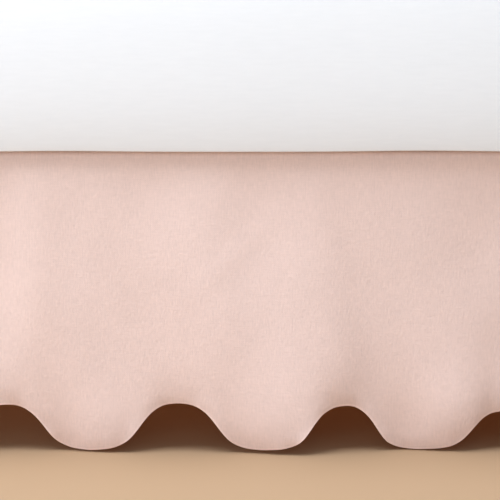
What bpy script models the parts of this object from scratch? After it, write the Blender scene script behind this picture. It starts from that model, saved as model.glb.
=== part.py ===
"""A scalloped bed skirt on a twin bed, as a Blender model in metres, +Z up.

The skirt is a flat deck that lies between the bed base and the mattress, and three drop panels
that fall over the base's edge at both long sides and the foot. The hem of each panel is cut in
scallops: broad lobes that hang to just above the floor, with narrower arches between them. The
corners are split. The head end, at -X, has no panel. The base, its legs and the mattress are the
plain bed that carries the skirt.
"""

import math

import bmesh
import bpy
import numpy as np
from mathutils import Matrix

# ---- driving dimensions, in metres ----
MATTRESS_LENGTH = 1.905
MATTRESS_WIDTH = 0.990
MATTRESS_THICKNESS = 0.250
MATTRESS_CROWN = 0.0080  # how far its sides swell between top and bottom
MATTRESS_CORNER = 0.065  # radius of its upright corners
MATTRESS_RIM = 0.028  # radius of its top rim
MATTRESS_LOW_RIM = 0.003  # radius of its bottom rim, a tight seam
MATTRESS_BANDS = 8  # its sides are modelled in this many bands
END_OVERHANG = 0.025  # how far the mattress stands out past the base's ends
SIDE_OVERHANG = 0.032  # and past its long sides

BASE_LENGTH = MATTRESS_LENGTH - 2 * END_OVERHANG
BASE_WIDTH = MATTRESS_WIDTH - 2 * SIDE_OVERHANG
BASE_THICKNESS = 0.185
BASE_EDGE = 0.008  # radius of the base's edges

LEG_TOP_RADIUS = 0.028
LEG_FOOT_RADIUS = 0.022
LEG_SIDES = 24

CLOTH = 0.002  # thickness of the sewn cloth, its hem turned in
SLIT = 0.0003  # gap between pieces that lie on each other
HEM_GAP = 0.0025  # from the floor to the lowest point of the hem
DROP = 0.373  # from the hem's lowest point to the top of the base

SCALLOP_DEPTH = 0.054  # of the pressed wave, from a lobe's low to the crown of an arch
SCALLOP_STEEPNESS = 1.5  # 0 would be a plain cosine wave
SCALLOP_LEAN = 0.05  # above 0 the wave's lows are broader than its highs
LOBE_TILT = 0.0020  # how much lower each lobe hangs on its left than on its right
SIDE_SCALLOPS = 9
FOOT_SCALLOPS = 5
FLANK_EASE = 0.016  # the hem is eased over this length on both sides of a lobe's flank

TOP_RETURN = 0.025  # the strip of each panel that lies on the base, under the mattress
BEND_RADIUS = 0.009  # of the cloth's middle surface, over the base's edge
HANG_OUT_TOP = 0.0100  # how far the cloth hangs off the base's side plane at the top
HANG_OUT_MIDDLE = 0.0160  # halfway down
HANG_OUT_HEM = 0.0170  # and at the hem
SEAM_HOLD = 0.0040  # how much further out the stiff seam holds it at the top
SEAM_HOLD_REACH = 0.10  # share of the drop over which that dies away
HEM_CURL = 0.0085  # how far the pressed hem curls in
HEM_CURL_REACH = 0.022  # length over which the curl dies away above the hem
CORNER_SLIT = 0.0026  # each panel stops this far short of the corner, as a split corner
FOLD_FADE = 0.11  # folds flatten over this length towards a panel's ends

COLUMNS_PER_SCALLOP = 12
BEND_ROWS = 3
DROP_STEPS = (0, 0.15, 0.30, 0.46, 0.61, 0.75, 0.85, 0.92, 0.965, 1)  # rows, closer at the hem

BASE_TOP = HEM_GAP + DROP
BASE_BOTTOM = BASE_TOP - BASE_THICKNESS
CLOTH_LEVEL = BASE_TOP + SLIT + CLOTH / 2  # middle surface of the cloth that lies on the base
DROP_TOP = CLOTH_LEVEL - BEND_RADIUS  # where the cloth hangs free, below the bend
MATTRESS_BOTTOM = BASE_TOP + CLOTH + 2 * SLIT

# Soft folds of the drop panels. `at` is measured from the panel's middle, to the right as seen
# from outside. `left` and `right` are the fold's half widths, `middle` and `hem` how far it
# stands out halfway down and at the hem, below 0 for a hollow. `lean` moves the fold to the
# right from top to hem.
FOLD_COLUMNS = ("at", "left", "right", "middle", "hem", "lean")
FRONT_FOLDS = (
    (-0.810, 0.050, 0.045, 0.0040, 0.0080, 0.010),
    (-0.700, 0.040, 0.055, -0.0035, -0.0080, 0.000),
    (-0.590, 0.055, 0.040, 0.0045, 0.0100, -0.015),
    (-0.440, 0.035, 0.075, -0.0055, 0.0120, -0.055),
    (-0.385, 0.025, 0.030, 0.0065, -0.0160, 0.020),
    (-0.300, 0.030, 0.045, 0.0050, -0.0070, -0.025),
    (-0.240, 0.075, 0.075, -0.0065, 0.0150, -0.060),
    (-0.185, 0.075, 0.040, 0.0085, -0.0160, 0.035),
    (-0.120, 0.040, 0.075, -0.0010, 0.0160, -0.060),
    (-0.060, 0.060, 0.075, 0.0060, 0.0160, 0.015),
    (-0.005, 0.025, 0.045, -0.0055, -0.0110, 0.060),
    (0.165, 0.060, 0.060, -0.0060, 0.0160, 0.060),
    (0.235, 0.025, 0.060, -0.0010, -0.0160, -0.060),
    (0.360, 0.055, 0.040, 0.0050, 0.0110, 0.020),
    (0.480, 0.040, 0.050, -0.0030, -0.0080, 0.000),
    (0.610, 0.050, 0.045, 0.0045, 0.0100, -0.020),
    (0.730, 0.045, 0.040, -0.0030, -0.0090, 0.010),
    (0.820, 0.040, 0.040, 0.0030, 0.0060, 0.000),
)
BACK_FOLDS = (
    (-0.800, 0.045, 0.050, -0.0025, -0.0070, 0.000),
    (-0.680, 0.055, 0.040, 0.0050, 0.0110, 0.012),
    (-0.550, 0.045, 0.050, -0.0035, -0.0090, -0.010),
    (-0.420, 0.050, 0.045, 0.0045, 0.0100, 0.000),
    (-0.290, 0.040, 0.055, -0.0040, -0.0110, 0.030),
    (-0.140, 0.045, 0.035, 0.0060, 0.0120, 0.000),
    (-0.030, 0.040, 0.045, -0.0020, -0.0100, -0.020),
    (0.090, 0.055, 0.045, 0.0040, 0.0070, 0.015),
    (0.220, 0.050, 0.040, -0.0045, -0.0080, 0.000),
    (0.340, 0.040, 0.050, 0.0055, 0.0130, -0.020),
    (0.470, 0.045, 0.045, -0.0030, -0.0100, 0.000),
    (0.600, 0.050, 0.040, 0.0040, 0.0090, 0.020),
    (0.710, 0.040, 0.050, -0.0035, -0.0080, 0.000),
    (0.815, 0.045, 0.040, 0.0035, 0.0070, -0.010),
)
FOOT_FOLDS = (
    (-0.340, 0.045, 0.040, 0.0040, 0.0090, 0.010),
    (-0.225, 0.040, 0.045, -0.0035, -0.0090, 0.000),
    (-0.105, 0.050, 0.040, 0.0055, 0.0120, -0.015),
    (0.020, 0.045, 0.050, -0.0035, -0.0100, 0.020),
    (0.140, 0.045, 0.040, 0.0045, 0.0100, 0.000),
    (0.245, 0.040, 0.045, -0.0040, -0.0080, -0.010),
    (0.345, 0.045, 0.040, 0.0040, 0.0080, 0.000),
)

# How each lobe of a hem differs from an even one, from left to right as seen from outside.
# `shift` moves its middle, `broader` widens it, `lift` raises its lowest point and `arch`
# raises the crown of the arch to its right. The first and the last are half lobes.
LOBE_COLUMNS = ("shift", "broader", "lift", "arch")
FRONT_LOBES = (
    (0.0000, 0.0150, 0.0000, 0.0055),
    (0.0030, 0.0130, 0.0010, 0.0025),
    (-0.0090, 0.0150, 0.0000, 0.0040),
    (-0.0030, 0.0165, 0.0000, 0.0065),
    (0.0060, 0.0145, 0.0025, 0.0040),
    (-0.0050, 0.0150, -0.0010, -0.0055),
    (-0.0010, 0.0140, 0.0005, 0.0020),
    (-0.0030, 0.0170, 0.0010, 0.0035),
    (0.0030, 0.0150, 0.0000, 0.0065),
    (0.0000, 0.0150, 0.0000, 0.0000),
)
BACK_LOBES = (
    (0.0000, 0.0150, 0.0000, 0.0025),
    (-0.0030, 0.0170, 0.0010, 0.0065),
    (0.0040, 0.0140, 0.0000, 0.0035),
    (0.0000, 0.0180, 0.0010, 0.0075),
    (-0.0040, 0.0150, 0.0000, 0.0005),
    (0.0030, 0.0170, 0.0010, 0.0055),
    (0.0010, 0.0130, 0.0000, 0.0065),
    (-0.0050, 0.0180, 0.0005, 0.0015),
    (0.0020, 0.0160, 0.0000, 0.0055),
    (0.0000, 0.0150, 0.0000, 0.0000),
)
FOOT_LOBES = (
    (0.0000, 0.0130, 0.0000, 0.0065),
    (0.0030, 0.0150, 0.0010, 0.0015),
    (-0.0020, 0.0120, 0.0000, 0.0065),
    (0.0030, 0.0160, 0.0005, 0.0035),
    (-0.0030, 0.0130, 0.0010, 0.0065),
    (0.0000, 0.0130, 0.0000, 0.0000),
)

# Each panel hangs at a side of the base. `outward` and `rightward` are its directions seen from
# above, and `slit_left` and `slit_right` say which of its ends meet another panel at a corner.
PANELS = {
    "skirt_front": dict(
        outward=(0, -1), rightward=(1, 0), reach=BASE_WIDTH / 2, width=BASE_LENGTH,
        scallops=SIDE_SCALLOPS, folds=FRONT_FOLDS, lobes=FRONT_LOBES,
        slit_left=False, slit_right=True,
    ),
    "skirt_back": dict(
        outward=(0, 1), rightward=(-1, 0), reach=BASE_WIDTH / 2, width=BASE_LENGTH,
        scallops=SIDE_SCALLOPS, folds=BACK_FOLDS, lobes=BACK_LOBES,
        slit_left=True, slit_right=False,
    ),
    "skirt_foot": dict(
        outward=(1, 0), rightward=(0, 1), reach=BASE_LENGTH / 2, width=BASE_WIDTH,
        scallops=FOOT_SCALLOPS, folds=FOOT_FOLDS, lobes=FOOT_LOBES,
        slit_left=True, slit_right=True,
    ),
}


def clear_scene():
    """Removes whatever the file holds."""
    for obj in list(bpy.data.objects):
        bpy.data.objects.remove(obj)


def finish_of(name, colour, roughness):
    """A Principled material with that colour and roughness."""
    material = bpy.data.materials.new(name)
    material.use_nodes = True
    shader = material.node_tree.nodes["Principled BSDF"]
    shader.inputs["Base Color"].default_value = (*colour, 1.0)
    shader.inputs["Roughness"].default_value = roughness
    shader.inputs["Metallic"].default_value = 0.0
    return material


def add_object(name, mesh_maker, material, collection, location=(0, 0, 0)):
    """A named object from a bmesh, with its material, placed in the collection."""
    mesh = bpy.data.meshes.new(name)
    mesh_maker.to_mesh(mesh)
    mesh_maker.free()
    mesh.materials.append(material)
    obj = bpy.data.objects.new(name, mesh)
    obj.location = location
    collection.objects.link(obj)
    return obj


def add_bevel(obj, width, segments, angle_deg):
    """Rounds every edge sharper than the angle."""
    bevel = obj.modifiers.new("rounded_edges", "BEVEL")
    bevel.width = width
    bevel.segments = segments
    bevel.limit_method = "ANGLE"
    bevel.angle_limit = math.radians(angle_deg)


def block(length, width, thickness):
    """A box, centred, as a bmesh with its real size in the mesh."""
    maker = bmesh.new()
    bmesh.ops.create_cube(maker, size=1.0)
    bmesh.ops.scale(maker, vec=(length, width, thickness), verts=maker.verts)
    return maker


def pressed(wave):
    """A wave between -1 and 1 pressed through tanh, so that its flanks are steep and its low
    side is broader than its high one, and brought to 0 to 1."""
    low, high, value = (
        np.tanh(SCALLOP_STEEPNESS * (x - SCALLOP_LEAN)) for x in (-1.0, 1.0, wave)
    )
    return (value - low) / (high - low)


def flank_turn():
    """How far, in whole scallops, a lobe's middle is from the flank at half the hem's height."""
    turns = np.linspace(0, 0.5, 501)
    return float(np.interp(0.5, pressed(-np.cos(2 * np.pi * turns)), turns))


def hem_level(panel, along):
    """Height of the hem above the floor: a pressed cosine wave, read at whole scallops from a
    lobe's middle. The scallops are counted so that the flanks fall where the table of lobes
    puts them, and each lobe and arch is lifted by its own amount."""
    lobes = dict(zip(LOBE_COLUMNS, np.array(panel["lobes"]).T))
    numbers = np.arange(panel["scallops"] + 1)
    pitch = panel["width"] / panel["scallops"]
    middles = (numbers - panel["scallops"] / 2) * pitch + lobes["shift"]
    half = flank_turn() * pitch + lobes["broader"] / 2
    places = np.stack([middles - half, middles + half], axis=1).ravel()
    turns = np.stack([numbers - flank_turn(), numbers + flank_turn()], axis=1).ravel()
    turn = (
        np.interp(along - FLANK_EASE, places, turns)
        + np.interp(along + FLANK_EASE, places, turns)
    ) / 2
    turn = np.clip(turn, 0, panel["scallops"])
    in_lobe = np.cos(np.pi * turn) ** 2
    lift = lobes["lift"][np.rint(turn).astype(int)] * in_lobe
    lift += lobes["arch"][np.floor(turn).astype(int)] * (1 - in_lobe)
    lift += LOBE_TILT * np.sin(2 * np.pi * turn) * in_lobe
    return HEM_GAP + SCALLOP_DEPTH * pressed(-np.cos(2 * np.pi * turn)) + lift


def hem_turn(panel, along, step=0.001):
    """Angle between the hem and a level line."""
    rise = hem_level(panel, along + step) - hem_level(panel, along - step)
    return np.arctan(rise / (2 * step))


def through_three(share, top, middle, hem):
    """A parabola with the value `top` at the top of the drop, `middle` halfway down and `hem`
    at its end."""
    upper = (1 - share) * (1 - 2 * share) * top
    return upper + 4 * share * (1 - share) * middle + share * (2 * share - 1) * hem


def folds_out(panel, along, share):
    """How far the cloth stands out through its folds, each a bell curve with unlike flanks.
    They fade towards the panel's ends."""
    out = 0.0
    for row in panel["folds"]:
        fold = dict(zip(FOLD_COLUMNS, row))
        away = along - fold["at"] - fold["lean"] * share
        bell = np.exp(-0.5 * (away / np.where(away < 0, fold["left"], fold["right"])) ** 2)
        out = out + bell * through_three(share, 0, fold["middle"], fold["hem"])
    from_end = np.clip((panel["width"] / 2 - np.abs(along)) / FOLD_FADE, 0, 1)
    return out * from_end**2 * (3 - 2 * from_end)


def panel_places(panel, across, row):
    """Points of a panel's middle surface at `across`, 0 to 1 along it, and at grid rows. Row 0
    is the inner edge of the top return, the next rows go over the bend, a quarter of a circle,
    and the rest go down to the hem in the steps of DROP_STEPS."""
    along = (across - 0.5) * panel["width"]
    bend = np.clip((row - 1) / BEND_ROWS, 0, 1) * np.pi / 2
    down = np.interp(row - 1 - BEND_ROWS, range(len(DROP_STEPS)), DROP_STEPS)
    hem = hem_level(panel, along)
    level = CLOTH_LEVEL - BEND_RADIUS * (1 - np.cos(bend)) + (hem - DROP_TOP) * down
    share = np.clip((DROP_TOP - level) / (DROP_TOP - HEM_GAP), 0, 1)
    out = through_three(share, HANG_OUT_TOP, HANG_OUT_MIDDLE, HANG_OUT_HEM)
    out += SEAM_HOLD * np.exp(-share / SEAM_HOLD_REACH) + folds_out(panel, along, share)
    turn = hem_turn(panel, along)
    from_hem = (level - hem) * np.cos(turn)
    out -= HEM_CURL * np.cos(turn) ** 2 * np.exp(-from_hem / HEM_CURL_REACH)
    out -= BEND_RADIUS * (1 - np.sin(bend))
    out = np.where(row == 0, -TOP_RETURN, out)
    meets = np.where(along > 0, panel["slit_right"], panel["slit_left"])
    along = along * (1 + meets * (out - CORNER_SLIT) / (panel["width"] / 2))
    outward, rightward = np.array(panel["outward"]), np.array(panel["rightward"])
    place = np.outer(panel["reach"] + out, outward) + np.outer(along, rightward)
    return np.column_stack([place, level])


def make_panel(name, panel, material, collection):
    """One drop panel: a grid laid over the base's edge, given its thickness by Solidify."""
    columns = panel["scallops"] * COLUMNS_PER_SCALLOP
    rows = BEND_ROWS + len(DROP_STEPS)
    maker = bmesh.new()
    bmesh.ops.create_grid(maker, x_segments=columns, y_segments=rows, size=0.5)
    flat = np.array([vert.co[:2] for vert in maker.verts])
    places = panel_places(panel, flat[:, 0] + 0.5, np.rint((0.5 - flat[:, 1]) * rows))
    for vert, place in zip(maker.verts, places):
        vert.co = place
    obj = add_object(name, maker, material, collection)
    shell = obj.modifiers.new("cloth_thickness", "SOLIDIFY")
    shell.thickness = CLOTH
    shell.offset = 0.0
    return obj


def make_deck(material, collection):
    """The flat cloth that joins the panels, on the base and under the mattress."""
    inset = TOP_RETURN + SLIT
    length = BASE_LENGTH - inset - BASE_EDGE
    head_end = -BASE_LENGTH / 2 + BASE_EDGE
    maker = block(length, BASE_WIDTH - 2 * inset, CLOTH)
    place = (head_end + length / 2, 0, CLOTH_LEVEL)
    return add_object("deck", maker, material, collection, place)


def is_level(edge):
    """Whether an edge's two ends are at the same height."""
    return abs(edge.verts[0].co.z - edge.verts[1].co.z) < 1e-5


def make_mattress(material, collection):
    """A block with swelling sides, broad upright corners and rounded rims. The swell falls off
    from the middle by half as the square and by half as the fourth power."""
    maker = block(
        MATTRESS_LENGTH - 2 * MATTRESS_CROWN,
        MATTRESS_WIDTH - 2 * MATTRESS_CROWN,
        MATTRESS_THICKNESS,
    )
    for band in range(1, MATTRESS_BANDS):
        level = MATTRESS_THICKNESS * (band / MATTRESS_BANDS - 0.5)
        geometry = maker.verts[:] + maker.edges[:] + maker.faces[:]
        bmesh.ops.bisect_plane(maker, geom=geometry, plane_co=(0, 0, level), plane_no=(0, 0, 1))
    for vert in maker.verts:
        from_middle = (2 * vert.co.z / MATTRESS_THICKNESS) ** 2
        swell = MATTRESS_CROWN * (1 - (from_middle + from_middle**2) / 2)
        vert.co.x += math.copysign(swell, vert.co.x)
        vert.co.y += math.copysign(swell, vert.co.y)
    corners = [e for e in maker.edges if not is_level(e)]
    bmesh.ops.bevel(
        maker, geom=corners, offset=MATTRESS_CORNER, segments=6, profile=0.5, affect="EDGES"
    )
    for side, radius, segments in ((1, MATTRESS_RIM, 5), (-1, MATTRESS_LOW_RIM, 2)):
        level = side * MATTRESS_THICKNESS / 2
        rim = [e for e in maker.edges if is_level(e) and abs(e.verts[0].co.z - level) < 1e-5]
        bmesh.ops.bevel(
            maker, geom=rim, offset=radius, segments=segments, profile=0.5, affect="EDGES"
        )
    place = (0, 0, MATTRESS_BOTTOM + MATTRESS_THICKNESS / 2)
    return add_object("mattress", maker, material, collection, place)


def make_base(material, collection):
    """The plain block under the deck, with eased edges."""
    maker = block(BASE_LENGTH, BASE_WIDTH, BASE_THICKNESS)
    place = (0, 0, BASE_BOTTOM + BASE_THICKNESS / 2)
    obj = add_object("bed_base", maker, material, collection, place)
    add_bevel(obj, BASE_EDGE, 3, 50)
    return obj


def make_legs(material, collection):
    """Four turned legs, tapered towards the floor, each behind the first whole lobe."""
    height = BASE_BOTTOM - SLIT
    for end, x in (("head", -1), ("foot", 1)):
        for side, y in (("front", -1), ("back", 1)):
            maker = bmesh.new()
            bmesh.ops.create_cone(
                maker, cap_ends=True, segments=LEG_SIDES,
                radius1=LEG_FOOT_RADIUS, radius2=LEG_TOP_RADIUS, depth=height,
                matrix=Matrix.Translation((0, 0, height / 2)),
            )
            place = (
                x * (0.5 - 1 / SIDE_SCALLOPS) * BASE_LENGTH,
                y * (0.5 - 1 / FOOT_SCALLOPS) * BASE_WIDTH,
                0,
            )
            leg = add_object(f"leg_{end}_{side}", maker, material, collection, place)
            leg.data.shade_smooth()
            leg.data.set_sharp_from_angle(angle=math.radians(40))


def main():
    clear_scene()
    collection = bpy.data.collections.new("bed_skirt_on_bed")
    bpy.context.scene.collection.children.link(collection)
    blush_linen = finish_of("blush_linen", (0.84, 0.63, 0.56), 0.9)
    deck_cotton = finish_of("deck_cotton", (0.85, 0.83, 0.79), 0.9)
    white_cotton = finish_of("white_cotton", (0.88, 0.88, 0.88), 0.85)
    base_cloth = finish_of("base_cloth", (0.76, 0.54, 0.32), 0.9)
    leg_wood = finish_of("leg_wood", (0.58, 0.35, 0.18), 0.5)
    make_base(base_cloth, collection)
    make_legs(leg_wood, collection)
    make_deck(deck_cotton, collection)
    for name, panel in PANELS.items():
        make_panel(name, panel, blush_linen, collection)
    make_mattress(white_cotton, collection)


main()
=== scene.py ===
"""The looks of a blush bed skirt with a scalloped hem, on a bed base under its mattress.

Each drop panel is one sheet of plain-woven linen, worked out on a fine grid over the fold table
of its solid. The mattress is a closed padded surface, the deck a flat sheet, and the base and
the legs keep their solids. Lengths are in metres.
"""

import math

import bpy
import numpy as np
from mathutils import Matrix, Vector


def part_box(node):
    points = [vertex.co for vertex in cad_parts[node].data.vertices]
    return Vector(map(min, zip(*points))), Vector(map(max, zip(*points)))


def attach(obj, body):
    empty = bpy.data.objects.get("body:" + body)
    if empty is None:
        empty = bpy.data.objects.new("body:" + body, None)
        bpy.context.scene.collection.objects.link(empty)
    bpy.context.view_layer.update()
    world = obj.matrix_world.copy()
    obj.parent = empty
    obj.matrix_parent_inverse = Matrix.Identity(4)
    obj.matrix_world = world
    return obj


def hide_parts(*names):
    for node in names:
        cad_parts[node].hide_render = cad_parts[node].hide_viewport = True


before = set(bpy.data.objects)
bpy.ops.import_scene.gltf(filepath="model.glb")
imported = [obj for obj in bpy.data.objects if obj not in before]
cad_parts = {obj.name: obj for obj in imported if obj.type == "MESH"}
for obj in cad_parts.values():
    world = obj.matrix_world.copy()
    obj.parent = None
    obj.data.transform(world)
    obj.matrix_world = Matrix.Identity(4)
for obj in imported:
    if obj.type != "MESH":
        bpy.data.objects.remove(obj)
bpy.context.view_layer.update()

# ---- sizes read from the frame ----
BASE_LOW, BASE_HIGH = (np.array(corner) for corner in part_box("bed_base"))
DECK_LOW, DECK_HIGH = (np.array(corner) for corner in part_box("deck"))
MATTRESS_LOW, MATTRESS_HIGH = (np.array(corner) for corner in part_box("mattress"))
BASE_LENGTH, BASE_WIDTH = BASE_HIGH[0] - BASE_LOW[0], BASE_HIGH[1] - BASE_LOW[1]
CLOTH = DECK_HIGH[2] - DECK_LOW[2]
CLOTH_LEVEL = (DECK_HIGH[2] + DECK_LOW[2]) / 2

# ---- the skirt's own sizes ----
HEM_GAP = 0.0025
SCALLOP_DEPTH = 0.054
SCALLOP_STEEPNESS = 1.5  # how hard the hem's cosine wave is pressed flat
SCALLOP_LEAN = 0.05  # above 0 the lobes are broader than the arches
FLANK_EASE = 0.016  # the turn from lobe to flank is spread over this length
LOBE_TILT = 0.0020  # each lobe's left shoulder hangs lower and its right one higher
TOP_RETURN = 0.025  # strip of each panel that lies on the base
BEND_RADIUS = 0.009
HANG_OUT_TOP = 0.0100  # how far the cloth hangs out from the base
HANG_OUT_MIDDLE = 0.0160
HANG_OUT_HEM = 0.0170
SEAM_HOLD = 0.0040  # how much further the stiff seam holds the cloth out
SEAM_HOLD_REACH = 0.10
CORNER_SLIT = 0.0026  # each panel stops this far short of a split corner
FOLD_FADE = 0.11  # folds flatten over this length towards a panel's ends
HEM_CURL = 0.0085  # how far the pressed hem curls in
HEM_CURL_REACH = 0.022
DROP_TOP = CLOTH_LEVEL - BEND_RADIUS
# Small unevenness: how far out, how long a wave is, and the factor on levels that draws slack
# and ripples out upright.
SLACK_OUT, SLACK_SIZE, SLACK_UPRIGHT = 0.00045, 0.11, 0.6
RIPPLE_OUT, RIPPLE_SIZE, RIPPLE_UPRIGHT = 0.00010, 0.013, 0.08
PUCKER_OUT, PUCKER_SIZE = 0.00035, 0.026
RIPPLE_REACH, PUCKER_REACH = 0.05, 0.016  # below the top seam and above the hem
SEAM_SMOOTH = 0.03  # the seam is smooth, and all unevenness is whole this far below it
GRID_STEP = 0.0045  # of the cloth's mesh
STRIP_ROWS, BEND_ROWS = 3, 8
HEM_ROWS = (0.0024, 0.0009, 0.0)  # its last rows, by their distance from the hem
EDGE_ROUND = 0.0005  # radius of the pressed edge of the hem
EDGE_ANGLE = math.radians(60)  # edges sharper than this are rounded

# Soft folds: place along the panel from its middle, to the right as seen from outside, half
# widths left and right of it, how far it stands out halfway down and at the hem, and how far it
# moves to the right from top to hem.
FOLD_COLUMNS = ("at", "left", "right", "middle", "hem", "lean")
FRONT_FOLDS = (
    (-0.810, 0.050, 0.045, 0.0040, 0.0080, 0.010),
    (-0.700, 0.040, 0.055, -0.0035, -0.0080, 0.000),
    (-0.590, 0.055, 0.040, 0.0045, 0.0100, -0.015),
    (-0.440, 0.035, 0.075, -0.0055, 0.0120, -0.055),
    (-0.385, 0.025, 0.030, 0.0065, -0.0160, 0.020),
    (-0.300, 0.030, 0.045, 0.0050, -0.0070, -0.025),
    (-0.240, 0.075, 0.075, -0.0065, 0.0150, -0.060),
    (-0.185, 0.075, 0.040, 0.0085, -0.0160, 0.035),
    (-0.120, 0.040, 0.075, -0.0010, 0.0160, -0.060),
    (-0.060, 0.060, 0.075, 0.0060, 0.0160, 0.015),
    (-0.005, 0.025, 0.045, -0.0055, -0.0110, 0.060),
    (0.165, 0.060, 0.060, -0.0060, 0.0160, 0.060),
    (0.235, 0.025, 0.060, -0.0010, -0.0160, -0.060),
    (0.360, 0.055, 0.040, 0.0050, 0.0110, 0.020),
    (0.480, 0.040, 0.050, -0.0030, -0.0080, 0.000),
    (0.610, 0.050, 0.045, 0.0045, 0.0100, -0.020),
    (0.730, 0.045, 0.040, -0.0030, -0.0090, 0.010),
    (0.820, 0.040, 0.040, 0.0030, 0.0060, 0.000),
)
BACK_FOLDS = (
    (-0.800, 0.045, 0.050, -0.0025, -0.0070, 0.000),
    (-0.680, 0.055, 0.040, 0.0050, 0.0110, 0.012),
    (-0.550, 0.045, 0.050, -0.0035, -0.0090, -0.010),
    (-0.420, 0.050, 0.045, 0.0045, 0.0100, 0.000),
    (-0.290, 0.040, 0.055, -0.0040, -0.0110, 0.030),
    (-0.140, 0.045, 0.035, 0.0060, 0.0120, 0.000),
    (-0.030, 0.040, 0.045, -0.0020, -0.0100, -0.020),
    (0.090, 0.055, 0.045, 0.0040, 0.0070, 0.015),
    (0.220, 0.050, 0.040, -0.0045, -0.0080, 0.000),
    (0.340, 0.040, 0.050, 0.0055, 0.0130, -0.020),
    (0.470, 0.045, 0.045, -0.0030, -0.0100, 0.000),
    (0.600, 0.050, 0.040, 0.0040, 0.0090, 0.020),
    (0.710, 0.040, 0.050, -0.0035, -0.0080, 0.000),
    (0.815, 0.045, 0.040, 0.0035, 0.0070, -0.010),
)
FOOT_FOLDS = (
    (-0.340, 0.045, 0.040, 0.0040, 0.0090, 0.010),
    (-0.225, 0.040, 0.045, -0.0035, -0.0090, 0.000),
    (-0.105, 0.050, 0.040, 0.0055, 0.0120, -0.015),
    (0.020, 0.045, 0.050, -0.0035, -0.0100, 0.020),
    (0.140, 0.045, 0.040, 0.0045, 0.0100, 0.000),
    (0.245, 0.040, 0.045, -0.0040, -0.0080, -0.010),
    (0.345, 0.045, 0.040, 0.0040, 0.0080, 0.000),
)

# Soft creases in the cloth: place along the panel, level, half width, half height, outward
# size and how far it moves to the right for each metre up.
CREASE_COLUMNS = ("at", "level", "wide", "high", "out", "lean")
FRONT_CREASES = (
    (-0.290, 0.040, 0.020, 0.030, 0.0010, 0.00),
    (-0.205, 0.055, 0.020, 0.015, 0.0010, 0.00),
    (-0.145, 0.240, 0.015, 0.040, 0.0005, 1.00),
    (-0.050, 0.005, 0.020, 0.020, 0.0020, 0.00),
    (0.080, 0.035, 0.020, 0.025, -0.0020, 0.00),
    (0.115, 0.055, 0.025, 0.035, 0.0020, 0.00),
    (0.165, 0.055, 0.025, 0.035, 0.0040, 0.00),
)
BACK_CREASES = (
    (-0.620, 0.110, 0.030, 0.045, -0.0020, 0.40),
    (-0.350, 0.240, 0.035, 0.050, -0.0020, -0.20),
    (-0.080, 0.050, 0.040, 0.020, -0.0030, 0.10),
    (0.260, 0.160, 0.035, 0.055, 0.0020, -0.60),
    (0.540, 0.045, 0.030, 0.035, -0.0040, 0.50),
)
FOOT_CREASES = (
    (-0.170, 0.120, 0.030, 0.045, -0.0020, 0.40),
    (0.060, 0.045, 0.035, 0.025, -0.0030, -0.30),
    (0.200, 0.230, 0.030, 0.060, 0.0020, 0.20),
)

# Each lobe of the hem: how far it is moved to the right, how much broader it is than the wave,
# how much higher its low point is, and how much higher the arch to its right is.
LOBE_COLUMNS = ("shift", "broader", "lift", "arch")
FRONT_LOBES = (
    (0.0000, 0.0150, 0.0000, 0.0055),
    (0.0030, 0.0130, 0.0010, 0.0025),
    (-0.0090, 0.0150, 0.0000, 0.0040),
    (-0.0030, 0.0165, 0.0000, 0.0065),
    (0.0060, 0.0145, 0.0025, 0.0040),
    (-0.0050, 0.0150, -0.0010, -0.0055),
    (-0.0010, 0.0140, 0.0005, 0.0020),
    (-0.0030, 0.0170, 0.0010, 0.0035),
    (0.0030, 0.0150, 0.0000, 0.0065),
    (0.0000, 0.0150, 0.0000, 0.0000),
)
BACK_LOBES = (
    (0.0000, 0.0150, 0.0000, 0.0025),
    (-0.0030, 0.0170, 0.0010, 0.0065),
    (0.0040, 0.0140, 0.0000, 0.0035),
    (0.0000, 0.0180, 0.0010, 0.0075),
    (-0.0040, 0.0150, 0.0000, 0.0005),
    (0.0030, 0.0170, 0.0010, 0.0055),
    (0.0010, 0.0130, 0.0000, 0.0065),
    (-0.0050, 0.0180, 0.0005, 0.0015),
    (0.0020, 0.0160, 0.0000, 0.0055),
    (0.0000, 0.0150, 0.0000, 0.0000),
)
FOOT_LOBES = (
    (0.0000, 0.0130, 0.0000, 0.0065),
    (0.0030, 0.0150, 0.0010, 0.0015),
    (-0.0020, 0.0120, 0.0000, 0.0065),
    (0.0030, 0.0160, 0.0005, 0.0035),
    (-0.0030, 0.0130, 0.0010, 0.0065),
    (0.0000, 0.0130, 0.0000, 0.0000),
)

# Each panel by the side of the base it hangs at. `outward` and `rightward` are directions seen
# from above, and the slits are the ends that meet another panel at a corner.
PANELS = {
    "skirt_front": dict(
        outward=(0, -1), rightward=(1, 0), reach=BASE_WIDTH / 2, width=BASE_LENGTH,
        folds=FRONT_FOLDS, creases=FRONT_CREASES, lobes=FRONT_LOBES,
        slit_left=False, slit_right=True, seed=11,
    ),
    "skirt_back": dict(
        outward=(0, 1), rightward=(-1, 0), reach=BASE_WIDTH / 2, width=BASE_LENGTH,
        folds=BACK_FOLDS, creases=BACK_CREASES, lobes=BACK_LOBES,
        slit_left=True, slit_right=False, seed=12,
    ),
    "skirt_foot": dict(
        outward=(1, 0), rightward=(0, 1), reach=BASE_LENGTH / 2, width=BASE_WIDTH,
        folds=FOOT_FOLDS, creases=FOOT_CREASES, lobes=FOOT_LOBES,
        slit_left=True, slit_right=True, seed=13,
    ),
}


# ---- shapes ----


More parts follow.
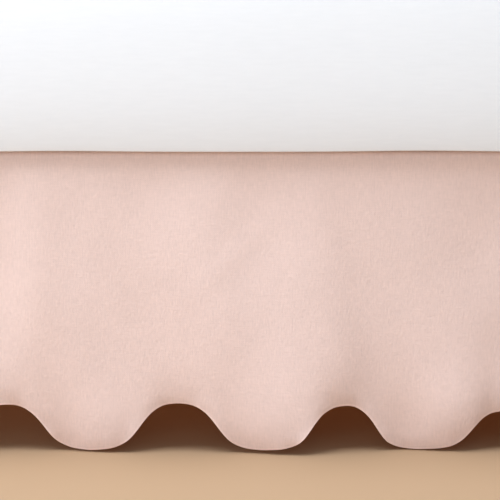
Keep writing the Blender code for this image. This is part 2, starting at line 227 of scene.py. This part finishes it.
def uneven(x, y, size, seed, waves=10):
    """Soft unevenness between about -1 and 1: the mean of sine waves in seeded directions, with
    lengths from two thirds to three halves of `size`."""
    draw = np.random.default_rng(seed)
    total = 0.0
    for _ in range(waves):
        turn, phase = draw.uniform(0, 2 * np.pi, 2)
        length = size * draw.uniform(0.67, 1.5)
        run = x * math.cos(turn) + y * math.sin(turn)
        total = total + np.sin(run * 2 * np.pi / length + phase)
    return total / math.sqrt(waves)


def pressed(wave):
    """A wave between -1 and 1 pressed through tanh, so that its flanks are steep and its low
    side is broader than its high one, and brought to 0 to 1."""
    low, high, value = (
        np.tanh(SCALLOP_STEEPNESS * (x - SCALLOP_LEAN)) for x in (-1.0, 1.0, wave)
    )
    return (value - low) / (high - low)


def flank_turn():
    """How far, in whole scallops, a lobe's middle is from the flank at half the hem's height."""
    turns = np.linspace(0, 0.5, 501)
    return float(np.interp(0.5, pressed(-np.cos(2 * np.pi * turns)), turns))


def hem_level(panel, along):
    """Height of the hem above the floor: a pressed cosine wave, with its turns counted in
    scallops so that the flanks fall where the table of lobes puts them. The table's lifts are
    added, and each lobe is tilted a little."""
    lobes = dict(zip(LOBE_COLUMNS, np.array(panel["lobes"]).T))
    scallops = len(panel["lobes"]) - 1
    numbers = np.arange(scallops + 1)
    pitch = panel["width"] / scallops
    middles = (numbers - scallops / 2) * pitch + lobes["shift"]
    half = flank_turn() * pitch + lobes["broader"] / 2
    places = np.stack([middles - half, middles + half], axis=1).ravel()
    turns = np.stack([numbers - flank_turn(), numbers + flank_turn()], axis=1).ravel()
    turn = (
        np.interp(along - FLANK_EASE, places, turns)
        + np.interp(along + FLANK_EASE, places, turns)
    ) / 2
    turn = np.clip(turn, 0, scallops)
    in_lobe = np.cos(np.pi * turn) ** 2
    lift = lobes["lift"][np.rint(turn).astype(int)] * in_lobe
    lift += lobes["arch"][np.floor(turn).astype(int)] * (1 - in_lobe)
    lift += LOBE_TILT * np.sin(2 * np.pi * turn) * in_lobe
    return HEM_GAP + SCALLOP_DEPTH * pressed(-np.cos(2 * np.pi * turn)) + lift


def through_three(share, top, middle, hem):
    """A parabola with the value `top` at the top of the drop, `middle` halfway down and `hem`
    at its end."""
    upper = (1 - share) * (1 - 2 * share) * top
    return upper + 4 * share * (1 - share) * middle + share * (2 * share - 1) * hem


def folds_out(panel, along, share):
    """How far the cloth stands out through its folds, each a bell curve with unlike flanks."""
    out = 0.0
    for row in panel["folds"]:
        fold = dict(zip(FOLD_COLUMNS, row))
        away = along - fold["at"] - fold["lean"] * share
        bell = np.exp(-0.5 * (away / np.where(away < 0, fold["left"], fold["right"])) ** 2)
        out = out + bell * through_three(share, 0, fold["middle"], fold["hem"])
    from_end = np.clip((panel["width"] / 2 - np.abs(along)) / FOLD_FADE, 0, 1)
    return out * from_end**2 * (3 - 2 * from_end)


def creases_out(panel, along, level):
    """How far the cloth stands out through its creases, each a bell curve both along the panel
    and up it."""
    out = 0.0
    for row in panel["creases"]:
        crease = dict(zip(CREASE_COLUMNS, row))
        above = level - crease["level"]
        away = along - crease["at"] - crease["lean"] * above
        turns = (away / crease["wide"]) ** 2 + (above / crease["high"]) ** 2
        out = out + crease["out"] * np.exp(-0.5 * turns)
    return out


def slack_out(panel, along, level, from_hem):
    """Small unevenness of the hanging cloth: broad slackness, narrow upright ripples that die
    out below the top seam, and puckers along the pressed hem."""
    seed = panel["seed"]
    slack = SLACK_OUT * uneven(along, level * SLACK_UPRIGHT, SLACK_SIZE, seed)
    ripples = RIPPLE_OUT * uneven(along, level * RIPPLE_UPRIGHT, RIPPLE_SIZE, seed + 20)
    below_seam = np.exp(-(DROP_TOP - level) / RIPPLE_REACH)
    puckers = PUCKER_OUT * uneven(along, level, PUCKER_SIZE, seed + 40)
    near_hem = np.exp(-from_hem / PUCKER_REACH)
    hung = np.clip((DROP_TOP - level) / SEAM_SMOOTH, 0, 1)
    return (slack + ripples * below_seam + puckers * near_hem) * hung


def panel_surface(panel):
    """The middle surface of a panel on a grid of columns along it and rows down it: the strip
    that lies on the base, a quarter circle over its edge, and the drop down to the hem.
    Returns points, flat cloth coordinates and the distance from the hem."""
    columns = round(panel["width"] / GRID_STEP)
    along = np.linspace(-0.5, 0.5, columns + 1) * panel["width"]
    strip = np.linspace(0, 1, STRIP_ROWS + 1)[:-1]
    bend = np.linspace(0, np.pi / 2, BEND_ROWS + 1)[:-1]
    whole_drop = DROP_TOP - HEM_GAP
    drop = np.linspace(0, 1, round(whole_drop / GRID_STEP) + 1)[:-1]
    drop = np.concatenate([drop, 1 - np.array(HEM_ROWS) / whole_drop])
    rows = len(strip) + len(bend) + len(drop)
    on_base = np.concatenate([1 - strip, np.zeros(rows - len(strip))])[:, None]
    bend = np.concatenate([np.zeros(len(strip)), bend, np.full(len(drop), np.pi / 2)])[:, None]
    down = np.concatenate([np.zeros(rows - len(drop)), drop])[:, None]
    hem = hem_level(panel, along)
    along, hem = along[None, :] + 0 * down, hem[None, :] + 0 * down
    level = CLOTH_LEVEL - BEND_RADIUS * (1 - np.cos(bend)) + (hem - DROP_TOP) * down
    share = np.clip((DROP_TOP - level) / whole_drop, 0, 1)
    edge_turn = np.arctan(np.gradient(hem, GRID_STEP, axis=1))
    from_hem = (level - hem) * np.cos(edge_turn)
    out = through_three(share, HANG_OUT_TOP, HANG_OUT_MIDDLE, HANG_OUT_HEM)
    out = out + SEAM_HOLD * np.exp(-share / SEAM_HOLD_REACH)
    creased = creases_out(panel, along, level)
    out = out + folds_out(panel, along, share) + creased
    out = out + slack_out(panel, along, level, from_hem)
    out = out - HEM_CURL * np.cos(edge_turn) ** 2 * np.exp(-from_hem / HEM_CURL_REACH)
    laid = TOP_RETURN + HANG_OUT_TOP + SEAM_HOLD - BEND_RADIUS
    out = out - BEND_RADIUS * (1 - np.sin(bend)) - on_base * (laid + creased)
    meets = np.where(along > 0, panel["slit_right"], panel["slit_left"])
    run = on_base * laid + level + BEND_RADIUS * (1 - np.cos(bend) - bend)
    flat = np.stack([along, run], axis=-1)
    along = along * (1 + meets * (out - CORNER_SLIT) / (panel["width"] / 2))
    place = (panel["reach"] + out)[..., None] * np.array(panel["outward"])
    place = place + along[..., None] * np.array(panel["rightward"])
    return np.concatenate([place, level[..., None]], axis=-1), flat, from_hem


def grid_mesh(name, points, flat=None, closed=False, marks=None):
    """A mesh of four-sided faces over a grid of points, wound so that they face out where rows
    run down and columns run to the right. `closed` joins the last column to the first and
    closes both ends with a fan. `flat` becomes the UV map, and each mark an attribute."""
    rows, columns = points.shape[:2]
    index = np.arange(rows * columns).reshape(rows, columns)
    right = np.roll(index, -1, axis=1) if closed else index[:, 1:]
    left = index if closed else index[:, :-1]
    quads = np.stack([left[:-1], left[1:], right[1:], right[:-1]], axis=-1).reshape(-1, 4)
    faces = quads.tolist()
    places = points.reshape(-1, 3)
    if closed:
        ends = np.stack([points[0].mean(axis=0), points[-1].mean(axis=0)])
        first, last = len(places), len(places) + 1
        places = np.concatenate([places, ends])
        faces += [[first, a, b] for a, b in zip(left[0].tolist(), right[0].tolist())]
        faces += [[last, b, a] for a, b in zip(left[-1].tolist(), right[-1].tolist())]
    mesh = bpy.data.meshes.new(name)
    mesh.from_pydata(places, [], faces)
    if flat is not None:
        corners = np.empty(len(mesh.loops), dtype=np.int32)
        mesh.loops.foreach_get("vertex_index", corners)
        layer = mesh.uv_layers.new(name="flat_cloth")
        layer.uv.foreach_set("vector", flat.reshape(-1, 2)[corners].astype(np.float32).ravel())
    for key, values in (marks or {}).items():
        attribute = mesh.attributes.new(key, "FLOAT", "POINT")
        attribute.data.foreach_set("value", values.astype(np.float32).ravel())
    mesh.shade_smooth()
    return mesh


def add_piece(name, mesh, material, slot, *nodes):
    """A shown piece that rides on the part's one body and stands for CAD nodes."""
    piece = bpy.data.objects.new(name, mesh)
    mesh.materials.append(material)
    bpy.context.scene.collection.objects.link(piece)
    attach(piece, "root")
    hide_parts(*nodes)
    return piece


def thicken(piece, thickness, edge_round):
    """Gives a sheet its thickness, the same on both sides, and rounds its outer edges."""
    shell = piece.modifiers.new("thickness", "SOLIDIFY")
    shell.thickness = thickness
    shell.offset = 0.0
    rounding = piece.modifiers.new("round_edge", "BEVEL")
    rounding.width = edge_round
    rounding.segments = 2
    rounding.limit_method = "ANGLE"
    rounding.angle_limit = EDGE_ANGLE
    rounding.harden_normals = True


def make_panel(name, panel, material):
    """A drop panel with its thickness."""
    points, flat, from_hem = panel_surface(panel)
    mesh = grid_mesh(name, points, flat, marks={"from_hem": from_hem})
    piece = add_piece(name + "_linen", mesh, material, "skirt_linen", name)
    thicken(piece, CLOTH, EDGE_ROUND)


DECK_STEPS = (60, 30)  # of the deck's mesh, along the bed and across it


def make_deck(material):
    """The flat sheet between the base and the mattress, on an even grid."""
    x = np.linspace(DECK_LOW[0], DECK_HIGH[0], DECK_STEPS[0] + 1)
    y = np.linspace(DECK_HIGH[1], DECK_LOW[1], DECK_STEPS[1] + 1)
    across, down = np.meshgrid(x, y)
    points = np.stack([across, down, np.full_like(across, CLOTH_LEVEL)], axis=-1)
    mesh = grid_mesh("deck", points, points[..., :2])
    piece = add_piece("deck_cotton_sheet", mesh, material, "deck_cotton", "deck")
    thicken(piece, CLOTH, EDGE_ROUND)


MATTRESS_CORNER = 0.065  # radius of its upright corners
MATTRESS_RIM = 0.028  # radius of the rim round its top
MATTRESS_LOW_RIM = 0.001  # and of the one round its underside
MATTRESS_CROWN = 0.0080  # how far its sides draw in at the top and at the bottom
MATTRESS_SAG, SAG_SIZE = 0.0012, 0.30  # unevenness of its top
TOP_FROM = 0.98  # the top begins at this share of the height
CORNER_STEPS, SIDE_STEP = 14, 0.012  # of its mesh, round a corner and along a side
RIM_ROWS, SIDE_ROWS, TOP_RINGS = 13, 28, 27
MIDDLE_RING = 0.03  # the innermost ring's share of the outline
# Where the front lower edge of the mattress is drawn up a little: place along it, half width
# and lift.
EDGE_LIFTS = (
    (-0.700, 0.080, 0.0010),
    (-0.345, 0.060, 0.0010),
    (0.095, 0.065, 0.0014),
    (0.520, 0.090, 0.0012),
)
LIFT_FADE = 8.0  # how fast a lift dies out up the side
FRONT_RAMP, FRONT_START = 6.0, 4.5  # a lift sets in three quarters of the way to the front


def rounded_outline():
    """Points and outward directions of the mattress's outline seen from above, anticlockwise:
    straight sides joined by quarter circles."""
    half = (MATTRESS_HIGH[:2] - MATTRESS_LOW[:2]) / 2 - MATTRESS_CORNER
    middle = (MATTRESS_HIGH[:2] + MATTRESS_LOW[:2]) / 2
    points, facing = [], []
    corners = ((1, 1, 0), (-1, 1, 1), (-1, -1, 2), (1, -1, 3))
    for number, (sx, sy, quarter) in enumerate(corners):
        turn = (quarter + np.linspace(0, 1, CORNER_STEPS + 1)) * np.pi / 2
        away = np.stack([np.cos(turn), np.sin(turn)], axis=-1)
        centre = middle + half * (sx, sy)
        points.append(centre + away * MATTRESS_CORNER)
        facing.append(away)
        next_centre = middle + half * corners[(number + 1) % 4][:2]
        run = np.linalg.norm(next_centre - centre)
        share = np.linspace(0, 1, round(run / SIDE_STEP) + 1)[1:-1, None]
        start = points[-1][-1]
        points.append(start + (next_centre - centre) * share)
        facing.append(np.repeat(away[-1:], len(share), axis=0))
    return np.concatenate(points), np.concatenate(facing)


def make_mattress(material):
    """A profile carried round the outline: a broad quarter-circle rim above and a tight one
    below a side that swells by half as the square and by half as the fourth power, then rings
    that shrink to the middle of the top and of the bottom."""
    outline, facing = rounded_outline()
    low, high = MATTRESS_LOW[2], MATTRESS_HIGH[2]
    turn = np.linspace(0, np.pi / 2, RIM_ROWS)
    away, down = 1 - np.sin(turn), 1 - np.cos(turn)
    side = np.linspace(high - MATTRESS_RIM, low + MATTRESS_LOW_RIM, SIDE_ROWS + 2)[1:-1]
    low_rim = low + MATTRESS_LOW_RIM * down[::-1]
    level = np.concatenate([high - MATTRESS_RIM * down, side, low_rim])
    inset = np.concatenate([MATTRESS_RIM * away, 0 * side, MATTRESS_LOW_RIM * away[::-1]])
    from_middle = (2 * (level - low) / (high - low) - 1) ** 2
    inset = inset + MATTRESS_CROWN * (from_middle + from_middle**2) / 2
    rings = outline[None] - facing[None] * inset[:, None, None]
    rings = np.concatenate([rings, level[:, None, None] + 0 * rings[..., :1]], axis=-1)
    shrink = np.linspace(MIDDLE_RING, 1, TOP_RINGS + 1)[:-1, None, None]
    shrink = np.concatenate([shrink, shrink, 0 * shrink + 1], axis=-1)
    middle = (MATTRESS_HIGH + MATTRESS_LOW) / 2
    top = middle + (rings[0] - middle) * shrink
    under = middle + (rings[-1] - middle) * shrink
    points = np.concatenate([top, rings, under[::-1]])
    x, y, z = points[..., 0], points[..., 1], points[..., 2]
    up = (z - low) / (high - low)
    sag = MATTRESS_SAG * uneven(x, y, SAG_SIZE, seed=31) * up
    lift = sum(r * np.exp(-0.5 * ((x - at) / w) ** 2) for at, w, r in EDGE_LIFTS)
    in_front = np.clip(-y / MATTRESS_HIGH[1] * FRONT_RAMP - FRONT_START, 0, 1)
    near_edge = np.exp(-(up * LIFT_FADE)) * in_front
    z += np.where(up > TOP_FROM, np.minimum(sag - MATTRESS_SAG, 0), 0) + lift * near_edge
    mesh = grid_mesh("mattress", points, closed=True)
    piece = add_piece("mattress_white_cotton", mesh, material, "mattress_cover", "mattress")


# ---- materials ----


def colour(code):
    """A linear colour from an sRGB hex value."""
    parts = (int(code[i : i + 2], 16) / 255 for i in (1, 3, 5))
    return (*(c / 12.92 if c <= 0.04045 else ((c + 0.055) / 1.055) ** 2.4 for c in parts), 1.0)


def add(tree, kind, inputs=None, **settings):
    """Adds one node with its settings. Each input is a value or the socket that feeds it."""
    node = tree.nodes.new(kind)
    for key, value in settings.items():
        setattr(node, key, value)
    for key, value in (inputs or {}).items():
        if isinstance(value, bpy.types.NodeSocket):
            tree.links.new(value, node.inputs[key])
        else:
            node.inputs[key].default_value = value
    return node


def surface(name, roughness, **shader):
    """A material with a Principled shader. Its further settings are named by their sockets,
    with _ for a space."""
    material = bpy.data.materials.new(name)
    material.use_nodes = True
    tree = material.node_tree
    principled = tree.nodes["Principled BSDF"]
    principled.inputs["Roughness"].default_value = roughness
    for key, value in shader.items():
        principled.inputs[key.replace("_", " ")].default_value = value
    return material, tree, principled


def slubs(tree, cloth, across, along, detail=2.0):
    """Soft streaks of uneven yarn, `across` wide in x and `along` long in y, between 0 and 1."""
    at = add(tree, "ShaderNodeMapping", {"Vector": cloth, "Scale": (1 / across, 1 / along, 1)})
    noise = add(
        tree, "ShaderNodeTexNoise",
        {"Vector": at.outputs["Vector"], "Scale": 1.0, "Detail": detail, "Roughness": 0.55},
        noise_dimensions="2D",
    )
    return noise.outputs["Fac"]


def over_under(tree, cloth, thread):
    """The relief of a plain weave: threads cross over and under each other as the product of two
    sine waves, each as long as two threads."""
    axes = add(tree, "ShaderNodeSeparateXYZ", {"Vector": cloth})
    waves = []
    for axis in ("X", "Y"):
        turn = add(
            tree, "ShaderNodeMath", {0: axes.outputs[axis], 1: math.pi / thread},
            operation="MULTIPLY",
        )
        waves.append(add(tree, "ShaderNodeMath", {0: turn.outputs[0]}, operation="SINE"))
    product = add(
        tree, "ShaderNodeMath", {0: waves[0].outputs[0], 1: waves[1].outputs[0]},
        operation="MULTIPLY",
    )
    return product.outputs[0]


def weighed(tree, terms):
    """The sum of sockets, each times its weight."""
    total = 0.0
    for socket, weight in terms:
        term = add(
            tree, "ShaderNodeMath", {0: socket, 1: weight, 2: total}, operation="MULTIPLY_ADD"
        )
        total = term.outputs[0]
    return total


def tinted(tree, code, terms, middle=1.0):
    """A colour made lighter and darker by a weighed sum of sockets."""
    tone = weighed(tree, terms)
    tone = add(tree, "ShaderNodeMath", {0: tone, 1: middle}, operation="ADD").outputs[0]
    mix = add(
        tree, "ShaderNodeVectorMath", {0: colour(code)[:3], "Scale": tone}, operation="SCALE"
    )
    return mix.outputs[0]


def blush_linen():
    """Linen and cotton in plain weave, piece-dyed blush and pressed flat. Slubs in the yarn give
    fine upright and level streaks, so the eye sees a dry, slightly mottled matt cloth. Along the
    pressed edge of the hem the colour is made a little paler: a painted highlight where that
    edge catches the light."""
    material, tree, shader = surface(
        "plain_woven_blush_linen", 0.9, Specular_IOR_Level=0.2, Sheen_Weight=0.06,
        Sheen_Roughness=0.5,
    )
    thread = 0.0012  # real threads are 0.5 mm apart, drawn coarser so that they show
    slub_width, slub_length = 0.0017, 0.012
    blotch_size, crinkle_size = (0.035, 0.045), (0.004, 0.005)
    painted_highlight_to, painted_highlight_gone_from = 0.0018, 0.0034  # distances from the hem
    cloth = add(tree, "ShaderNodeUVMap", uv_map="flat_cloth").outputs["UV"]
    warp = slubs(tree, cloth, slub_width, slub_length)
    weft = slubs(tree, cloth, slub_length, slub_width)
    blotch = slubs(tree, cloth, *blotch_size, detail=3.0)
    crinkle = slubs(tree, cloth, *crinkle_size, detail=3.0)
    threads = over_under(tree, cloth, thread)
    # Painted highlight: the colour is made paler within these distances of the hem, where the
    # pressed edge catches the light.
    hem = add(
        tree, "ShaderNodeMapRange",
        {
            "Value": add(tree, "ShaderNodeAttribute", attribute_name="from_hem").outputs["Fac"],
            "From Min": painted_highlight_to, "From Max": painted_highlight_gone_from, "To Min": 1.0, "To Max": 0.0,
        },
        interpolation_type="SMOOTHSTEP",
    ).outputs["Result"]
    # The hem term adds the painted highlight along the pressed edge of the hem.
    terms = (
        (warp, 0.15), (weft, 0.09), (blotch, 0.06), (crinkle, 0.06), (threads, 0.02), (hem, 0.11)
    )
    dyed = tinted(tree, "#ecd1c7", terms, middle=0.817)
    tree.links.new(dyed, shader.inputs["Base Color"])
    relief = weighed(tree, ((warp, 1.2), (weft, 0.6), (crinkle, 2.4), (threads, 0.15)))
    bump = add(tree, "ShaderNodeBump", {"Height": relief, "Strength": 1.0, "Distance": 0.00012})
    tree.links.new(bump.outputs["Normal"], shader.inputs["Normal"])
    return material


def white_percale():
    """Fine white cotton percale stretched over the mattress: smooth and matt, with the faint
    level pulls of cloth drawn round a side."""
    material, tree, shader = surface(
        "stretched_white_cotton_percale", 0.85, Specular_IOR_Level=0.25, Sheen_Weight=0.04,
        Sheen_Roughness=0.5,
    )
    weave_size, patch_size = 1 / 700, 1 / 6  # the weave is drawn coarser so that it shows
    pull_length, pull_height = 0.025, 0.003
    place = add(tree, "ShaderNodeTexCoord").outputs["Object"]
    fine = add(
        tree, "ShaderNodeTexNoise", {"Vector": place, "Scale": 1 / weave_size, "Detail": 2.0}
    ).outputs["Fac"]
    broad = add(
        tree, "ShaderNodeTexNoise", {"Vector": place, "Scale": 1 / patch_size, "Detail": 2.0}
    ).outputs["Fac"]
    stretched = add(
        tree, "ShaderNodeMapping",
        {"Vector": place, "Scale": (1 / pull_length, 1 / pull_length, 1 / pull_height)},
    ).outputs["Vector"]
    pulls = add(
        tree, "ShaderNodeTexNoise", {"Vector": stretched, "Scale": 1.0, "Detail": 3.0}
    ).outputs["Fac"]
    terms = ((fine, 0.006), (broad, 0.016), (pulls, 0.050))
    white = tinted(tree, "#f4f5f6", terms, middle=0.957)
    tree.links.new(white, shader.inputs["Base Color"])
    bump = add(tree, "ShaderNodeBump", {"Height": fine, "Strength": 1.0, "Distance": 0.00004})
    tree.links.new(bump.outputs["Normal"], shader.inputs["Normal"])
    return material


def deck_cotton():
    """Unbleached cotton sheeting in plain weave, which shows as a thin cream edge."""
    material, tree, shader = surface("plain_woven_cream_cotton", 0.9, Specular_IOR_Level=0.2)
    cloth = add(tree, "ShaderNodeUVMap", uv_map="flat_cloth").outputs["UV"]
    slub_width, slub_length = 0.0015, 0.012
    warp = slubs(tree, cloth, slub_width, slub_length)
    weft = slubs(tree, cloth, slub_length, slub_width)
    cream = tinted(tree, "#ece3d4", ((warp, 0.08), (weft, 0.08)), middle=0.92)
    tree.links.new(cream, shader.inputs["Base Color"])
    relief = weighed(tree, ((warp, 1.0), (weft, 1.0)))
    bump = add(tree, "ShaderNodeBump", {"Height": relief, "Strength": 1.0, "Distance": 0.0001})
    tree.links.new(bump.outputs["Normal"], shader.inputs["Normal"])
    return material


def base_cloth():
    """Sand polyester and cotton upholstery cloth, stretched and stapled over the base: an
    even matt face with a small nubbed weave."""
    material, tree, shader = surface("stapled_sand_upholstery", 0.88, Specular_IOR_Level=0.25)
    place = add(tree, "ShaderNodeTexCoord").outputs["Object"]
    nub_size = 0.004  # real nubs are 1 mm apart, drawn coarser so that they show
    patch_size = 1 / 9
    enlarged = add(tree, "ShaderNodeMapping", {"Vector": place, "Scale": (1 / nub_size,) * 3})
    nubs = add(
        tree, "ShaderNodeTexNoise",
        {"Vector": enlarged.outputs["Vector"], "Scale": 1.0, "Detail": 3.0},
    ).outputs["Fac"]
    broad = add(
        tree, "ShaderNodeTexNoise", {"Vector": place, "Scale": 1 / patch_size, "Detail": 2.0}
    ).outputs["Fac"]
    sand = tinted(tree, "#e2c29a", ((nubs, 0.16), (broad, 0.05)), middle=0.895)
    tree.links.new(sand, shader.inputs["Base Color"])
    bump = add(tree, "ShaderNodeBump", {"Height": nubs, "Strength": 1.0, "Distance": 0.0004})
    tree.links.new(bump.outputs["Normal"], shader.inputs["Normal"])
    return material


def oiled_beech():
    """Turned beech, oiled: pale pinkish brown with fine upright grain in broader upright
    bands, under a thin sheen."""
    material, tree, shader = surface("turned_oiled_beech", 0.45, Coat_Weight=0.15)
    place = add(tree, "ShaderNodeTexCoord").outputs["Object"]
    grain_width, grain_length = 0.0022, 0.060
    band_width, band_upright = 1 / 60, 0.08  # a band is about twelve times as long as wide
    stretched = add(
        tree, "ShaderNodeMapping",
        {"Vector": place, "Scale": (1 / grain_width, 1 / grain_width, 1 / grain_length)},
    ).outputs["Vector"]
    grain = add(
        tree, "ShaderNodeTexNoise", {"Vector": stretched, "Scale": 1.0, "Detail": 4.0}
    ).outputs["Fac"]
    lengthened = add(
        tree, "ShaderNodeMapping", {"Vector": place, "Scale": (1, 1, band_upright)}
    ).outputs["Vector"]
    bands = add(
        tree, "ShaderNodeTexNoise",
        {"Vector": lengthened, "Scale": 1 / band_width, "Detail": 2.0},
    ).outputs["Fac"]
    beech = tinted(tree, "#c99f74", ((grain, 0.30), (bands, 0.30)), middle=0.70)
    tree.links.new(beech, shader.inputs["Base Color"])
    bump = add(tree, "ShaderNodeBump", {"Height": grain, "Strength": 1.0, "Distance": 0.00008})
    tree.links.new(bump.outputs["Normal"], shader.inputs["Normal"])
    return material


def floor_finish():
    """A plain pale floor in a warm oak tone, matt, with nothing drawn on it."""
    material, _, shader = surface("pale_matt_floor", 0.75, Specular_IOR_Level=0.3)
    shader.inputs["Base Color"].default_value = colour("#a38668")
    return material


# ---- floor, light and camera ----


FLOOR_REACH, FLOOR_DROP = 9.0, 0.0003


def add_floor(material):
    """A wide flat square, staged, just under what stands on it."""
    line = np.array([-FLOOR_REACH, FLOOR_REACH])
    x, y = np.meshgrid(line, -line)
    mesh = grid_mesh("floor", np.stack([x, y, np.full_like(x, -FLOOR_DROP)], axis=-1))
    floor = bpy.data.objects.new("floor", mesh)
    mesh.materials.append(material)
    bpy.context.scene.collection.objects.link(floor)


def aimed(name, data, place, aim):
    """An object at a place, turned so that it looks at a point."""
    thing = bpy.data.objects.new(name, data)
    thing.location = place
    thing.rotation_euler = (Vector(aim) - Vector(place)).to_track_quat("-Z", "Y").to_euler()
    bpy.context.scene.collection.objects.link(thing)
    return thing


LIGHT_AIM = Vector((0.0, -0.45, 0.30))
LIGHT_COLUMNS = ("name", "azimuth", "elevation", "distance", "size", "power")
LIGHTS = (
    ("left_soft_box", -60, 65, 2.8, 1.8, 84.0),
    ("overhead_soft_box", 0, 82, 2.8, 1.8, 58.0),
    ("head_soft_box", -80, 8, 3.2, 1.6, 42.0),
    ("front_soft_box", -15, 15, 2.8, 1.8, 19.0),
    ("back_soft_box", 150, 45, 3.6, 1.8, 70.0),
)
LIGHT_TINT = "#ecf5ff"
SKY = 0.425
UNDER_BED_TINT = "#ffaa72"
UNDER_BED_POWER = 0.66
GLOW_SHARE, GLOW_BELOW_BASE = 0.9, 0.02  # its size as a share of the base's, and its place


def add_light():
    """Soft boxes placed round the front of the bed, a faint warm one under the bed that stands
    for light thrown about between floor, base and cloth, and an even sky. Azimuth 0 is in front
    and grows to the right, and both angles are in degrees."""
    for row in LIGHTS:
        light = dict(zip(LIGHT_COLUMNS, row))
        azimuth, up = math.radians(light["azimuth"]), math.radians(light["elevation"])
        level = math.cos(up)
        away = Vector((math.sin(azimuth) * level, -math.cos(azimuth) * level, math.sin(up)))
        data = bpy.data.lights.new(light["name"], "AREA")
        data.size = light["size"]
        data.energy = light["power"]
        data.color = colour(LIGHT_TINT)[:3]
        box = aimed(light["name"], data, LIGHT_AIM + away * light["distance"], LIGHT_AIM)
        box.visible_camera = False
    data = bpy.data.lights.new("under_bed_glow", "AREA")
    data.shape = "RECTANGLE"
    data.size, data.size_y = BASE_LENGTH * GLOW_SHARE, BASE_WIDTH * GLOW_SHARE
    data.energy = UNDER_BED_POWER
    data.color = colour(UNDER_BED_TINT)[:3]
    glow = aimed("under_bed_glow", data, (0, 0, BASE_LOW[2] - GLOW_BELOW_BASE), (0, 0, 0))
    glow.visible_camera = False
    world = bpy.data.worlds.new("studio")
    world.use_nodes = True
    sky = world.node_tree.nodes["Background"]
    sky.inputs["Color"].default_value = colour(LIGHT_TINT)
    sky.inputs["Strength"].default_value = SKY
    bpy.context.scene.world = world
    bpy.context.scene.view_settings.view_transform = "Standard"


CAMERA_PLACE = (-0.116, -2.880, 0.710)
CAMERA_TILT = math.radians(10.70)
CAMERA_LENS = 144.07


def add_camera():
    """The camera looks square on at the front panel, near its middle, from a little above the
    mattress and tilted down."""
    data = bpy.data.cameras.new("camera")
    data.lens = CAMERA_LENS
    data.sensor_width = 36.0
    camera = bpy.data.objects.new("camera", data)
    camera.location = CAMERA_PLACE
    camera.rotation_euler = (math.pi / 2 - CAMERA_TILT, 0, 0)
    bpy.context.scene.collection.objects.link(camera)
    bpy.context.scene.camera = camera


# ---- the whole ----

add_camera()
add_light()
add_floor(floor_finish())

linen = blush_linen()
for name, panel in PANELS.items():
    make_panel(name, panel, linen)
make_deck(deck_cotton())
make_mattress(white_percale())

sand, beech = base_cloth(), oiled_beech()
for node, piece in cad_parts.items():
    if node == "bed_base" or node.startswith("leg_"):
        piece.data.materials.clear()
        piece.data.materials.append(sand if node == "bed_base" else beech)
